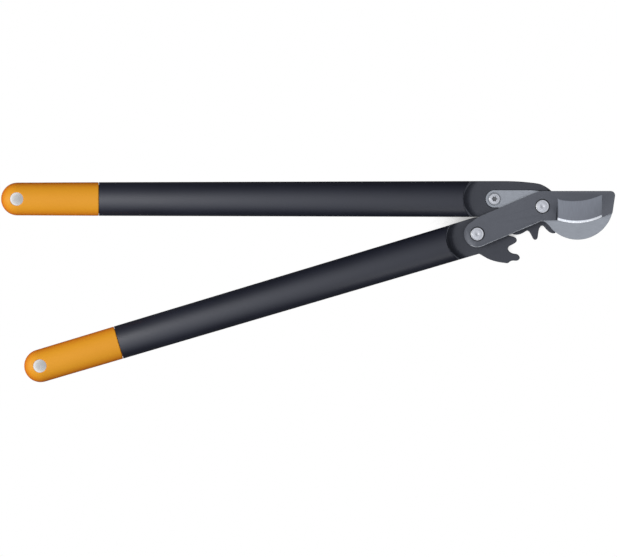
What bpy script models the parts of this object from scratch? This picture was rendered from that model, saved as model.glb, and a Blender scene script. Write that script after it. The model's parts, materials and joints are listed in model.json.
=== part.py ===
"""Long-handled geared bypass pruning shears, lying flat with the jaw closed.

A cutting blade turns on the pivot bolt against a hook that is fixed to the upper handle. The blade's
arm also carries the lever bolt, on which the lower handle turns. A toothed sector on the lower handle
rolls round a toothed sector on the upper handle, so the handles open further than the jaw does.

Metres, +Z up. X runs along the upper handle towards the blade's tip and Y towards the upper handle.
The pieces are laid out from the pivot bolt's axis, with Z = 0 at the handles' middle plane, and the
whole tool is then set down so that the middle of its box's underside is the origin.
"""

import math

import bmesh
import bpy
import numpy as np
from mathutils import Matrix, Vector

MM = 0.001
GAP = 0.3 * MM  # clearance between pieces that meet face to face

# Linkage
GEAR_CENTRES = 79.8 * MM  # from the lever bolt to the pivot bolt
ARM_ANGLE = math.radians(23.0)  # rise of the line from the lever bolt to the pivot bolt
LOWER_HANDLE_ANGLE = math.radians(16.6)
UPPER_AXIS_RISE = 8.25 * MM  # the upper handle's axis above the pivot bolt
LOWER_AXIS_DROP = 1.7 * MM  # the lower handle's axis below the lever bolt

# Layers through the head, from the back to the front
HEAD_BACK = -9.5 * MM
HOOK_BACK = 1.0 * MM
HOOK_THICKNESS = 5.0 * MM
BLADE_THICKNESS = 4.2 * MM
HOOK_FRONT = HOOK_BACK + HOOK_THICKNESS
BLADE_BACK = HOOK_FRONT + GAP
BLADE_FRONT = BLADE_BACK + BLADE_THICKNESS
GEAR_FRONT = HOOK_BACK - GAP

# Handles: oval, tapering slightly from the head to the grip
TUBE_HALF_WIDTH_AT_HEAD = 20.2 * MM
TUBE_HALF_WIDTH_AT_GRIP = 18.9 * MM
TUBE_FLATNESS = 0.70  # depth over width
TUBE_WALL = 2.2 * MM
SEAM_BOW = 7.4 * MM  # how deep the tube's end is scooped round the head
UPPER_SEAM = -89.6 * MM  # middle of the seam, from the pivot bolt along the handle
LOWER_SEAM = -36.0 * MM  # middle of the seam, from the lever bolt along the handle
UPPER_TUBE_LENGTH = 410 * MM
LOWER_TUBE_LENGTH = 386 * MM
SPIGOT_LENGTH = 42 * MM
GRIP_LENGTH = 110 * MM
GRIP_END_HALF_WIDTH = 18.5 * MM
GRIP_SPIGOT_LENGTH = 30 * MM
HANG_HOLE_RADIUS = 7.4 * MM
HANG_HOLE_FROM_END = 17.6 * MM

# Heads
DISH_WIDTH = 8.5 * MM  # of the hollow by which a head drops from the tube to its flat face
SIDE_BLEND = 18 * MM  # over which a head's oval sides turn square
SEAT_RADIUS = 13.6 * MM  # round seat under the blade's tail
HEAD_NOSE_RADIUS = 19.9 * MM
ARM_RELIEF_FROM_CENTRES = 14 * MM  # edge of the pocket under the blade's arm
UPPER_HEAD_TOP = (  # from the nose to where the edge runs straight
    (5.7 * MM, 20.8 * MM),
    (0.7 * MM, 23.6 * MM),
    (-4.4 * MM, 25.5 * MM),
    (-14.4 * MM, 26.9 * MM),
    (-26.8 * MM, 28.0 * MM),
)

# Gear teeth, in order round each axis: the turn from the line of centres in degrees, and the radius
# as a share of GEAR_CENTRES
LOWER_GEAR = (
    (-94.0, 0.348), (-81.0, 0.450), (-71.0, 0.546), (-67.0, 0.594), (-63.0, 0.603),  # heel
    (-60.0, 0.624), (-57.3, 0.669), (-55.0, 0.688), (-52.3, 0.688), (-50.3, 0.658),  # first tooth
    (-50.0, 0.620), (-51.5, 0.576), (-51.7, 0.523), (-49.1, 0.481), (-44.5, 0.479),
    (-40.0, 0.513), (-36.2, 0.549), (-32.5, 0.566), (-29.0, 0.548), (-27.1, 0.508),  # second
    (-25.6, 0.446), (-21.5, 0.429), (-16.0, 0.421), (-11.0, 0.425),
    (-8.0, 0.449), (-5.5, 0.500), (-2.5, 0.517), (0.5, 0.495), (3.5, 0.455),  # third
    (7.0, 0.451), (11.0, 0.466), (14.5, 0.476), (18.0, 0.457), (21.0, 0.388),  # fourth
)
UPPER_GEAR = (
    (-21.0, 0.445), (-12.0, 0.514), (-6.0, 0.526), (-1.0, 0.489), (3.0, 0.420),  # first tooth
    (8.0, 0.401), (13.5, 0.439), (17.0, 0.539), (18.4, 0.574), (21.9, 0.564),  # second
    (26.8, 0.521), (30.8, 0.464), (34.4, 0.407), (39.3, 0.405),
    (46.0, 0.439), (50.8, 0.476), (54.9, 0.484), (57.8, 0.459), (58.0, 0.402),  # third
    (58.5, 0.316), (63.8, 0.273), (70.3, 0.281),
    (76.6, 0.332), (82.6, 0.381), (88.3, 0.410), (92.7, 0.416), (97.0, 0.395),  # fourth
)

# Cutting blade
ARM_LOWER_HALF = 14.9 * MM
ARM_UPPER_HALF = 17.3 * MM
BLADE_TOP = 17.3 * MM
HEEL_BOTTOM = -15.7 * MM
TIP_TOP_X = 82.6 * MM
TIP_BOTTOM = (78.9 * MM, -7.3 * MM)
TIP_CORNER_RADIUS = 5.0 * MM
EDGE_CENTRE = (38.0 * MM, 46.0 * MM)
EDGE_RADIUS = 65.0 * MM
GRIND_START = 17.0 * MM
GRIND_END = 67.0 * MM
GRIND_TOP = ((16.3 * MM, 8.0 * MM), (37.5 * MM, 5.8 * MM), (67.0 * MM, 13.0 * MM))
GRIND_WALL_LEAN = 0.7  # how far the wall at the grind's heel leans out, over its height
HONED_WIDTH = 2.8 * MM
HONED_RISE = 1.3 * MM
EDGE_THICKNESS = 0.4 * MM

# Hook
JAW_OVERLAP = 3.0 * MM  # how far the blade's edge passes the hook's
HOOK_CENTRE = (39.4 * MM, 2.9 * MM)
HOOK_RADIUS = 40.5 * MM
HOOK_BOSS_RADIUS = 16.9 * MM
HOOK_NECK = (  # its back edge, from the boss to where the outer curve starts
    (3.2 * MM, -17.8 * MM),
    (7.5 * MM, -21.6 * MM),
    (10.9 * MM, -26.0 * MM),
    (15.6 * MM, -30.1 * MM),
)
TANG_SHOULDER = (-12.0 * MM, 18.15 * MM)  # where its straight upper edge bends down to the boss
TANG_CENTRE = (-54.1 * MM, 8.35 * MM)
TANG_RADIUS = 9.8 * MM

# Fasteners
BOLT_RADIUS = 4.0 * MM
BOLT_HEAD_RADIUS = 7.4 * MM
BOLT_HEAD_HEIGHT = 2.4 * MM
COUNTERBORE_DEPTH = 0.8 * MM
COUNTERBORE_MARGIN = 0.8 * MM
SLEEVE_WALL = 1.7 * MM
WASHER_RADIUS = 7.6 * MM
WASHER_THICKNESS = 1.0 * MM
NUT_ACROSS_FLATS = 13.0 * MM
NUT_HEIGHT = 5.2 * MM
NUT_POCKET_RADIUS = 8.6 * MM
NUT_POCKET_DEPTH = 4.0 * MM
SCREW_RADIUS = 3.0 * MM
SCREW_HEAD_RADIUS = 6.3 * MM
SCREW_HEAD_HEIGHT = 2.2 * MM
SCREW_SEAT_RADIUS = 7.4 * MM
SCREW_SEAT_DEPTH = 1.4 * MM
SCREW_WASHER_RADIUS = 6.4 * MM
SCREW_NUT_ACROSS_FLATS = 10.0 * MM
SCREW_NUT_HEIGHT = 4.6 * MM
SOCKET_RADIUS = 2.9 * MM
SOCKET_LOBES = 6
SOCKET_DEPTH = 1.6 * MM
THRUST_WASHER_THICKNESS = 0.8 * MM

ROUND_STEPS = 48
ARC_STEP = math.radians(5)
OVERSHOOT = 5 * MM  # how far a cutter runs past the face it cuts


# --- Scene -----------------------------------------------------------------------------------------


def clear_scene():
    for obj in list(bpy.data.objects):
        bpy.data.objects.remove(obj, do_unlink=True)


def new_collection(name):
    collection = bpy.data.collections.new(name)
    bpy.context.scene.collection.children.link(collection)
    return collection


def finish(name, rgb, roughness, metallic=0.0):
    """A plain Principled material."""
    material = bpy.data.materials.new(name)
    material.use_nodes = True
    shader = material.node_tree.nodes["Principled BSDF"]
    shader.inputs["Base Color"].default_value = (*rgb, 1.0)
    shader.inputs["Roughness"].default_value = roughness
    shader.inputs["Metallic"].default_value = metallic
    return material


def new_object(name, mesh):
    obj = bpy.data.objects.new(name, mesh)
    CUTTERS.objects.link(obj)
    obj.hide_render = True
    obj.display_type = "WIRE"
    return obj


def mesh_object(name, bm):
    mesh = bpy.data.meshes.new(name)
    bm.to_mesh(mesh)
    bm.free()
    return new_object(name, mesh)


def evaluated_mesh(obj):
    bpy.context.view_layer.update()
    graph = bpy.context.evaluated_depsgraph_get()
    return bpy.data.meshes.new_from_object(obj.evaluated_get(graph))


def boolean(obj, tool, operation):
    """Cuts, joins or crosses obj with tool, which is used up."""
    modifier = obj.modifiers.new(operation.title(), "BOOLEAN")
    modifier.operation = operation
    modifier.solver = "MANIFOLD"
    modifier.object = tool
    mesh = evaluated_mesh(obj)
    obj.modifiers.clear()
    obj.data = mesh
    bpy.data.objects.remove(tool, do_unlink=True)
    return obj


def cut(obj, *tools):
    for tool in tools:
        boolean(obj, tool, "DIFFERENCE")
    return obj


def join(obj, *tools):
    for tool in tools:
        boolean(obj, tool, "UNION")
    return obj


def cross(obj, *tools):
    for tool in tools:
        boolean(obj, tool, "INTERSECT")
    return obj


def as_part(obj, name, material, body):
    """Makes obj a named piece of the tool, carried by one of its three moving bodies."""
    CUTTERS.objects.unlink(obj)
    PARTS.objects.link(obj)
    obj.name = name
    obj.hide_render = False
    obj.display_type = "TEXTURED"
    obj.data.materials.clear()
    obj.data.materials.append(material)
    obj.data.shade_smooth()
    obj.data.set_sharp_from_angle(angle=math.radians(30))
    obj.parent = body
    return obj


def pivot_empty(name, parent, location, turn):
    empty = bpy.data.objects.new(name, None)
    PARTS.objects.link(empty)
    empty.parent = parent
    empty.location = location
    empty.rotation_euler = (0, 0, turn)
    return empty


# --- Outlines --------------------------------------------------------------------------------------


def polar(angle, radius, centre=(0.0, 0.0)):
    return (centre[0] + radius * math.cos(angle), centre[1] + radius * math.sin(angle))


def turned_by(points, angle):
    c, s = math.cos(angle), math.sin(angle)
    return [(c * x - s * y, s * x + c * y) for x, y in points]


def arc(centre, radius, start, end, step=ARC_STEP):
    """Points from the start angle to the end angle, both included."""
    count = max(2, math.ceil(abs(end - start) / step))
    return [polar(start + (end - start) * i / count, radius, centre) for i in range(count + 1)]


def rounded(before, corner, after, radius, step=ARC_STEP):
    """The arc that rounds a corner between two neighbouring points."""
    p, a, b = Vector(corner), Vector(before), Vector(after)
    into, out = (a - p).normalized(), (b - p).normalized()
    half = into.angle(out) / 2
    reach = radius / math.tan(half)
    centre = p + (into + out).normalized() * (radius / math.sin(half))
    first, last = p + into * reach - centre, p + out * reach - centre
    start = math.atan2(first.y, first.x)
    sweep = (math.atan2(last.y, last.x) - start + math.pi) % math.tau - math.pi
    return arc(centre, radius, start, start + sweep, step)


def grown(outline, margin):
    """The outline moved outwards by a margin. The outline runs anticlockwise."""
    moved = []
    for i, point in enumerate(outline):
        a, p, b = Vector(outline[i - 1]), Vector(point), Vector(outline[(i + 1) % len(outline)])
        side_in, side_out = (p - a).normalized(), (b - p).normalized()
        normal_in, normal_out = Vector((side_in.y, -side_in.x)), Vector((side_out.y, -side_out.x))
        middle = (normal_in + normal_out).normalized()
        moved.append(tuple(p + middle * (margin / max(middle.dot(normal_out), 0.5))))
    return moved


def smooth(knots, steps=3):
    """Points of the smooth curve through the knots, both ends included."""
    ends = [knots[0], *knots, knots[-1]]
    points = []
    for a, b, c, d in zip(ends, ends[1:], ends[2:], ends[3:]):
        for i in range(steps):
            t = i / steps
            weights = (2 * t**2 - t - t**3, 2 - 5 * t**2 + 3 * t**3, t + 4 * t**2 - 3 * t**3, t**3 - t**2)
            sums = [sum(w * p[k] for w, p in zip(weights, (a, b, c, d))) for k in (0, 1)]
            points.append((sums[0] / 2, sums[1] / 2))
    return [*points, knots[-1]]


def toothed(knots, zero):
    """The edge of a gear sector whose line of centres points to the angle zero."""
    edge = smooth([(zero + math.radians(turn), share * GEAR_CENTRES) for turn, share in knots])
    return [polar(angle, radius) for angle, radius in edge]


# --- Solids ----------------------------------------------------------------------------------------


def plate(outline, back, front):
    """A flat outline in the XY plane, from Z = back to Z = front."""
    curve = bpy.data.curves.new("outline", "CURVE")
    curve.dimensions = "2D"
    curve.fill_mode = "BOTH"
    curve.extrude = (front - back) / 2
    spline = curve.splines.new("POLY")
    spline.points.add(len(outline) - 1)
    for point, (x, y) in zip(spline.points, outline):
        point.co = (x, y, 0, 1)
    spline.use_cyclic_u = True
    drawn = new_object("outline", curve)
    mesh = evaluated_mesh(drawn)
    bpy.data.objects.remove(drawn, do_unlink=True)
    bm = bmesh.new()
    bm.from_mesh(mesh)
    bmesh.ops.remove_doubles(bm, verts=bm.verts, dist=1e-7)
    bmesh.ops.translate(bm, verts=bm.verts, vec=(0, 0, (front + back) / 2))
    bmesh.ops.recalc_face_normals(bm, faces=bm.faces)
    return mesh_object("plate", bm)


def disc(radius, back, front, centre=(0.0, 0.0), sides=ROUND_STEPS, turn=0.0):
    bm = bmesh.new()
    bmesh.ops.create_cone(
        bm, cap_ends=True, segments=sides, radius1=radius, radius2=radius, depth=front - back,
        matrix=Matrix.Translation((*centre, (front + back) / 2)) @ Matrix.Rotation(turn, 4, "Z"),
    )
    return mesh_object("disc", bm)


def box(low, high):
    bm = bmesh.new()
    low, high = Vector(low), Vector(high)
    size = Matrix.Diagonal((*(high - low), 1.0))
    bmesh.ops.create_cube(bm, size=1.0, matrix=Matrix.Translation((low + high) / 2) @ size)
    return mesh_object("box", bm)


def ring(outer, inner, back, front, centre=(0.0, 0.0)):
    bore = disc(inner, back - OVERSHOOT, front + OVERSHOOT, centre)
    return cut(disc(outer, back, front, centre), bore)


def nut(across_flats, bore, back, front, centre=(0.0, 0.0)):
    hexagon = disc(across_flats / math.sqrt(3), back, front, centre, sides=6)
    return cut(hexagon, disc(bore, back - OVERSHOOT, front + OVERSHOOT, centre))


def turned(profile):
    """A shape turned about X from (x, radius) points, given from +X to -X along its outside."""
    bm = bmesh.new()
    points = [bm.verts.new((radius, 0, x)) for x, radius in profile]
    for a, b in zip(points, points[1:]):
        bm.edges.new((a, b))
    obj = mesh_object("turned", bm)
    screw = obj.modifiers.new("Turn", "SCREW")
    screw.steps = screw.render_steps = ROUND_STEPS
    screw.use_merge_vertices = True
    screw.merge_threshold = 0.00001
    mesh = evaluated_mesh(obj)
    obj.modifiers.clear()
    obj.data = mesh
    obj.data.transform(Matrix.Rotation(math.pi / 2, 4, "Y"))
    return obj


def loft(sections):
    """Skins (x, y, half width, half depth, squareness) sections from -X to +X and closes both ends."""
    bm = bmesh.new()
    rings = []
    for x, y, half_width, half_depth, squareness in sections:
        points = []
        for i in range(ROUND_STEPS):
            c, s = math.cos(math.tau * i / ROUND_STEPS), math.sin(math.tau * i / ROUND_STEPS)
            across = math.copysign(abs(c) ** (2 / squareness), c) * half_width
            up = math.copysign(abs(s) ** (2 / squareness), s) * half_depth
            points.append(bm.verts.new((x, y + across, up)))
        rings.append(points)
    for a, b in zip(rings, rings[1:]):
        for i in range(ROUND_STEPS):
            j = (i + 1) % ROUND_STEPS
            bm.faces.new((a[i], a[j], b[j], b[i]))
    bm.faces.new(rings[0])
    bm.faces.new(rings[-1])
    bmesh.ops.recalc_face_normals(bm, faces=bm.faces)
    return mesh_object("loft", bm)


# --- Handles ---------------------------------------------------------------------------------------


def tube_half_width(along):
    """Half width at a share of the tube's length, 0 at the grip and 1 at the head."""
    return TUBE_HALF_WIDTH_AT_GRIP + (TUBE_HALF_WIDTH_AT_HEAD - TUBE_HALF_WIDTH_AT_GRIP) * along


def seam_cutter(seam, axis_y, margin):
    """The upright cylinder whose side is the bowed seam between a tube and its head."""
    radius = seam_radius()
    depth = TUBE_HALF_WIDTH_AT_HEAD + OVERSHOOT
    return disc(radius - margin, -depth, depth, (seam + radius, axis_y), sides=4 * ROUND_STEPS)


def handle_tube(seam, length, axis_y):
    """The hollow oval tube between grip and head, its head end scooped to the seam."""
    bm = bmesh.new()
    bmesh.ops.create_cone(
        bm, cap_ends=False, segments=ROUND_STEPS, radius1=TUBE_HALF_WIDTH_AT_GRIP,
        radius2=tube_half_width(1 + SEAM_BOW / length), depth=length + SEAM_BOW,
    )
    along_x = Matrix.Rotation(math.pi / 2, 4, "Y")
    flatten = Matrix.Diagonal((1, 1, TUBE_FLATNESS, 1))
    place = Matrix.Translation((seam + SEAM_BOW - (length + SEAM_BOW) / 2, axis_y, 0))
    bmesh.ops.transform(bm, matrix=place @ flatten @ along_x, verts=bm.verts)
    tube = mesh_object("tube", bm)
    wall = tube.modifiers.new("Wall", "SOLIDIFY")
    wall.thickness = TUBE_WALL
    wall.offset = -1
    mesh = evaluated_mesh(tube)
    tube.modifiers.clear()
    tube.data = mesh
    return cut(tube, seam_cutter(seam, axis_y, 0))


def handle_grip(seam, length, axis_y):
    """The round-ended grip, flush with the tube, with a spigot inside it and a hanging hole."""
    front = seam - length - GAP
    round_centre = front - GRIP_LENGTH + GRIP_END_HALF_WIDTH
    spigot = (tube_half_width(0) * TUBE_FLATNESS - TUBE_WALL - GAP) / TUBE_FLATNESS
    profile = [
        (front + GRIP_SPIGOT_LENGTH, 0),
        (front + GRIP_SPIGOT_LENGTH, spigot - 1 * MM),
        (front + GRIP_SPIGOT_LENGTH - 1 * MM, spigot),
        (front, spigot),
        (front, TUBE_HALF_WIDTH_AT_GRIP),
    ]
    end = arc((round_centre, 0), GRIP_END_HALF_WIDTH, math.pi / 2, math.pi)
    grip = turned(profile + end)
    grip.data.transform(Matrix.Translation((0, axis_y, 0)) @ Matrix.Diagonal((1, 1, TUBE_FLATNESS, 1)))
    return cut(grip, hang_hole(front - GRIP_LENGTH, axis_y))


def hang_hole(end, axis_y):
    reach = TUBE_HALF_WIDTH_AT_HEAD
    return disc(HANG_HOLE_RADIUS, -reach, reach, (end + HANG_HOLE_FROM_END, axis_y))


# --- Heads -----------------------------------------------------------------------------------------


def neck_envelope(seam, axis_y, far_end):
    """Oval as the tube at the seam, its sides turning square until only the head's outline bounds it."""
    half = TUBE_HALF_WIDTH_AT_HEAD
    sections = []
    for i in range(9):
        share = i / 8
        widening = 1 + 0.05 * share**2
        sections.append((
            seam + SEAM_BOW * 0.3 + SIDE_BLEND * share, axis_y,
            half * widening, half * TUBE_FLATNESS * widening, 2 + 12 * share**2,
        ))
    start = (seam - OVERSHOOT, *sections[0][1:])
    last = sections[-1]
    margin = 30 * MM
    past = (last[0] + 0.5 * MM, axis_y, half + margin, half + margin, 14)
    return loft([start, *sections, past, (far_end, *past[1:])])


def seam_radius():
    half = TUBE_HALF_WIDTH_AT_HEAD
    return (half**2 + SEAM_BOW**2) / (2 * SEAM_BOW)


def face_cutter(seam, axis_y, face, side, far_end):
    """What a head loses before (side 1) or behind (-1) a flat face: a hollow that follows the seam."""
    radius = seam_radius()
    crown = TUBE_HALF_WIDTH_AT_HEAD * TUBE_FLATNESS + 0.2 * MM
    depth = crown - face * side
    floor = radius - GAP - DISH_WIDTH
    hollow = [
        (face * side + depth * (i / 8) ** 2.2, floor + DISH_WIDTH * i / 8) for i in range(9)
    ]
    top = TUBE_HALF_WIDTH_AT_HEAD + OVERSHOOT
    rim = hollow[-1][1] + 1 * MM
    dish = turned([(top, 0), (top, rim), (crown, rim), *reversed(hollow), (face * side, 0)])
    dish.data.transform(Matrix.Rotation(-math.pi / 2, 4, "Y"))
    middle = seam + radius
    beyond = box((middle, axis_y - 3 * radius, face * side), (far_end, axis_y + 3 * radius, top))
    dish.data.transform(Matrix.Translation((middle, axis_y, 0)))
    if far_end > middle:
        join(dish, beyond)
    else:
        bpy.data.objects.remove(beyond, do_unlink=True)
    if side < 0:
        dish.data.transform(Matrix.Diagonal((1, 1, -1, 1)))
        dish.data.flip_normals()
    return dish


def without_repeats(points):
    kept = []
    for point in points:
        if not kept or math.dist(point, kept[-1]) > 1e-6:
            kept.append(point)
    return kept


def head_spigot(seam, axis_y):
    """The oval plug that fills the tube's end behind the head."""
    across = TUBE_HALF_WIDTH_AT_HEAD * TUBE_FLATNESS - TUBE_WALL - GAP
    half_width = TUBE_HALF_WIDTH_AT_HEAD - TUBE_WALL - GAP
    taper = 0.4 * MM  # the bore narrows towards the grip
    end = seam - SPIGOT_LENGTH
    return loft([
        (end, axis_y, half_width - taper - 1 * MM, across - taper - 1 * MM, 2),
        (end + 1 * MM, axis_y, half_width - taper, across - taper, 2),
        (seam + SEAM_BOW + 3 * MM, axis_y, half_width, across, 2),
    ])


def nut_pocket(centre=(0.0, 0.0), radius=NUT_POCKET_RADIUS):
    return disc(radius, HEAD_BACK - OVERSHOOT, HEAD_BACK + NUT_POCKET_DEPTH, centre)


def through_hole(radius, centre=(0.0, 0.0)):
    reach = TUBE_HALF_WIDTH_AT_HEAD
    return disc(radius, -reach, reach, centre)


def handle_head(outline, seam, axis_y, front_face, far_end):
    """A head's solid: its plan, crossed with the neck that meets the tube and faced front and back."""
    reach = TUBE_HALF_WIDTH_AT_HEAD
    body = plate(outline, -reach, reach)
    cross(body, neck_envelope(seam, axis_y, far_end + OVERSHOOT))
    low = (seam - OVERSHOOT, axis_y - 2 * reach, -2 * reach)
    high = (seam + SEAM_BOW + OVERSHOOT, axis_y + 2 * reach, 2 * reach)
    cut(body, cut(box(low, high), seam_cutter(seam, axis_y, GAP)))
    join(body, head_spigot(seam, axis_y))
    cut(body, face_cutter(seam, axis_y, front_face, 1, far_end))
    return cut(body, face_cutter(seam, axis_y, HEAD_BACK, -1, far_end))


def underside():
    """Height of the upper handle's lower edge at the head."""
    return UPPER_AXIS_RISE - TUBE_HALF_WIDTH_AT_HEAD


def stop_radius():
    """Radius of the lower head's shoulder, which stops against the upper head's lower edge."""
    return underside() - lever_bolt()[1] - GAP


def upper_head_outline():
    """Plan of the upper head, from the nose round the top, along the underside and the teeth."""
    left = UPPER_SEAM - 1 * MM
    top = UPPER_AXIS_RISE + TUBE_HALF_WIDTH_AT_HEAD
    nose = arc((0, 0), HEAD_NOSE_RADIUS, math.radians(-55), math.radians(57))
    ridge = smooth([nose[-1], *UPPER_HEAD_TOP, (-40 * MM, top)])
    to_underside = underside() - lever_bolt()[1] - ARM_RELIEF_FROM_CENTRES * math.cos(ARM_ANGLE)
    corner = from_centres(to_underside / math.sin(ARM_ANGLE), ARM_RELIEF_FROM_CENTRES)
    teeth = toothed(UPPER_GEAR, math.pi + ARM_ANGLE)
    return without_repeats([*nose, *ridge, (left, top), (left, underside()), corner, *teeth])


def lower_head_outline():
    """Plan of the lower head about the lever bolt, with X along the lower handle."""
    left = LOWER_SEAM - 1 * MM
    top = -LOWER_AXIS_DROP + TUBE_HALF_WIDTH_AT_HEAD
    bottom = -LOWER_AXIS_DROP - TUBE_HALF_WIDTH_AT_HEAD
    facing = ARM_ANGLE - LOWER_HANDLE_ANGLE
    teeth = toothed(LOWER_GEAR, facing)
    shoulder = arc((0, 0), stop_radius(), facing + math.radians(26), math.radians(92))
    return without_repeats([(left, top), (left, bottom), (-4.4 * MM, bottom), *teeth, *shoulder])


def lever_bolt():
    return polar(math.pi + ARM_ANGLE, GEAR_CENTRES)


def arm_room():
    """What the blade's arm and tail need clear in front of the upper head's face."""
    half = ARM_UPPER_HALF + GAP
    reach = TUBE_HALF_WIDTH_AT_HEAD
    arm = box((-GEAR_CENTRES, -half, HOOK_FRONT), (0, half, reach))
    join(arm, disc(half, HOOK_FRONT, reach, (-GEAR_CENTRES, 0)))
    arm.data.transform(Matrix.Rotation(ARM_ANGLE, 4, "Z"))
    return arm


def upper_head():
    head = handle_head(upper_head_outline(), UPPER_SEAM, UPPER_AXIS_RISE, HOOK_FRONT, 45 * MM)
    tang_pocket = plate(grown(hook_outline(), GAP), GEAR_FRONT, HOOK_FRONT + OVERSHOOT)
    relief = box(
        (-GEAR_CENTRES * 0.8, -3 * HEAD_NOSE_RADIUS, GEAR_FRONT),
        (2 * HEAD_NOSE_RADIUS, ARM_RELIEF_FROM_CENTRES, HOOK_FRONT + OVERSHOOT),
    )
    relief.data.transform(Matrix.Rotation(ARM_ANGLE, 4, "Z"))
    cut(head, tang_pocket, relief, arm_room())
    cut(head, through_hole(BOLT_RADIUS + GAP + SLEEVE_WALL + GAP), nut_pocket())
    cut(head, through_hole(SCREW_RADIUS + GAP, TANG_CENTRE), nut_pocket(TANG_CENTRE, SCREW_SEAT_RADIUS))
    return head


def seat_front():
    """Top of the lower head's round seat, under the thrust washer."""
    return BLADE_BACK - GAP - THRUST_WASHER_THICKNESS - GAP


def lower_head():
    head = handle_head(lower_head_outline(), LOWER_SEAM, -LOWER_AXIS_DROP, GEAR_FRONT, 75 * MM)
    join(head, disc(SEAT_RADIUS, 0, seat_front()))
    return cut(head, through_hole(BOLT_RADIUS + GAP + SLEEVE_WALL + GAP), nut_pocket())


# --- Jaw -------------------------------------------------------------------------------------------


def on_edge(x, inward=0.0):
    """Point of the cutting edge's curve at x, or of the parallel curve inside it."""
    cx, cy = EDGE_CENTRE
    return (x, cy - math.sqrt((EDGE_RADIUS - inward) ** 2 - (x - cx) ** 2))


def edge_run(start, end, inward=0.0, count=24):
    return [on_edge(start + (end - start) * i / count, inward) for i in range(count + 1)]


def from_centres(along, across):
    """A point measured from the lever bolt, along and across the line of centres."""
    x, y = turned_by([(along, across)], ARM_ANGLE)[0]
    ax, ay = lever_bolt()
    return (ax + x, ay + y)


def blade_outline():
    """Plan of the blade: its tail round the lever bolt, its arm, and its cutting end."""
    tail = arc(lever_bolt(), ARM_LOWER_HALF, ARM_ANGLE + math.radians(102), ARM_ANGLE + math.radians(270))
    corner, along = from_centres(9 * MM, ARM_UPPER_HALF), from_centres(60 * MM, ARM_UPPER_HALF)
    shoulder = rounded(tail[0], corner, along, 20 * MM)
    rise = (BLADE_TOP - ARM_UPPER_HALF * math.cos(ARM_ANGLE)) / math.sin(ARM_ANGLE)
    bend = from_centres(GEAR_CENTRES + rise, ARM_UPPER_HALF)
    top = rounded(from_centres(30 * MM, ARM_UPPER_HALF), bend, (TIP_TOP_X, BLADE_TOP), 22 * MM)
    tip = rounded(bend, (TIP_TOP_X, BLADE_TOP), TIP_BOTTOM, TIP_CORNER_RADIUS)
    drop = (HEEL_BOTTOM + ARM_LOWER_HALF * math.cos(ARM_ANGLE)) / math.sin(ARM_ANGLE)
    under = from_centres(GEAR_CENTRES + drop, -ARM_LOWER_HALF)
    edge = edge_run(GRIND_START, GRIND_END)
    outline = [*tail, under, (GRIND_START - 1 * MM, HEEL_BOTTOM), *edge, TIP_BOTTOM]
    return without_repeats([*outline, *reversed(tip), *reversed(top), *reversed(shoulder)])


def circle_through(p, q, r):
    """Centre and radius of the circle through three points."""
    (ax, ay), (bx, by), (cx, cy) = p, q, r
    d = 2 * (ax * (by - cy) + bx * (cy - ay) + cx * (ay - by))
    aa, bb, cc = ax**2 + ay**2, bx**2 + by**2, cx**2 + cy**2
    x = (aa * (by - cy) + bb * (cy - ay) + cc * (ay - by)) / d
    y = (aa * (cx - bx) + bb * (ax - cx) + cc * (bx - ax)) / d
    return (x, y), math.dist((x, y), p)


def grind_cutter():
    """What the wheel takes off: a wide ground face and, at the edge itself, a steeper honed one."""
    past = 2 * MM
    slope = HONED_RISE / HONED_WIDTH
    edge_z = BLADE_BACK + EDGE_THICKNESS
    clear = BLADE_FRONT + OVERSHOOT
    (top_x, top_y), top_radius = circle_through(*GRIND_TOP)
    bm = bmesh.new()
    stations = []
    for x, y in edge_run(GRIND_START, GRIND_END):
        height = top_y - math.sqrt(top_radius**2 - (x - top_x) ** 2)
        lean = GRIND_WALL_LEAN if not stations else 0.0
        section = (
            (x, y - past, edge_z - slope * past),
            (x, y + HONED_WIDTH, edge_z + HONED_RISE),
            (x, height, BLADE_FRONT),
            (x - lean * OVERSHOOT, height, clear),
            (x - lean * (clear - edge_z), y - past, clear),
        )
        stations.append([bm.verts.new(point) for point in section])
    for a, b in zip(stations, stations[1:]):
        for i in range(5):
            j = (i + 1) % 5
            bm.faces.new((a[i], a[j], b[j], b[i]))
    for end in (stations[0], stations[-1]):
        bm.faces.new((end[0], end[1], end[4]))
        bm.faces.new((end[1], end[2], end[3], end[4]))
    bmesh.ops.recalc_face_normals(bm, faces=bm.faces)
    return mesh_object("grind", bm)


def counterbore(centre=(0.0, 0.0)):
    radius = BOLT_HEAD_RADIUS + COUNTERBORE_MARGIN
    return disc(radius, BLADE_FRONT - COUNTERBORE_DEPTH, BLADE_FRONT + OVERSHOOT, centre)


def cutting_blade():
    blade = plate(blade_outline(), BLADE_BACK, BLADE_FRONT)
    cut(blade, grind_cutter())
    for centre in ((0.0, 0.0), lever_bolt()):
        cut(blade, through_hole(BOLT_RADIUS + GAP, centre), counterbore(centre))
    return blade


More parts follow.
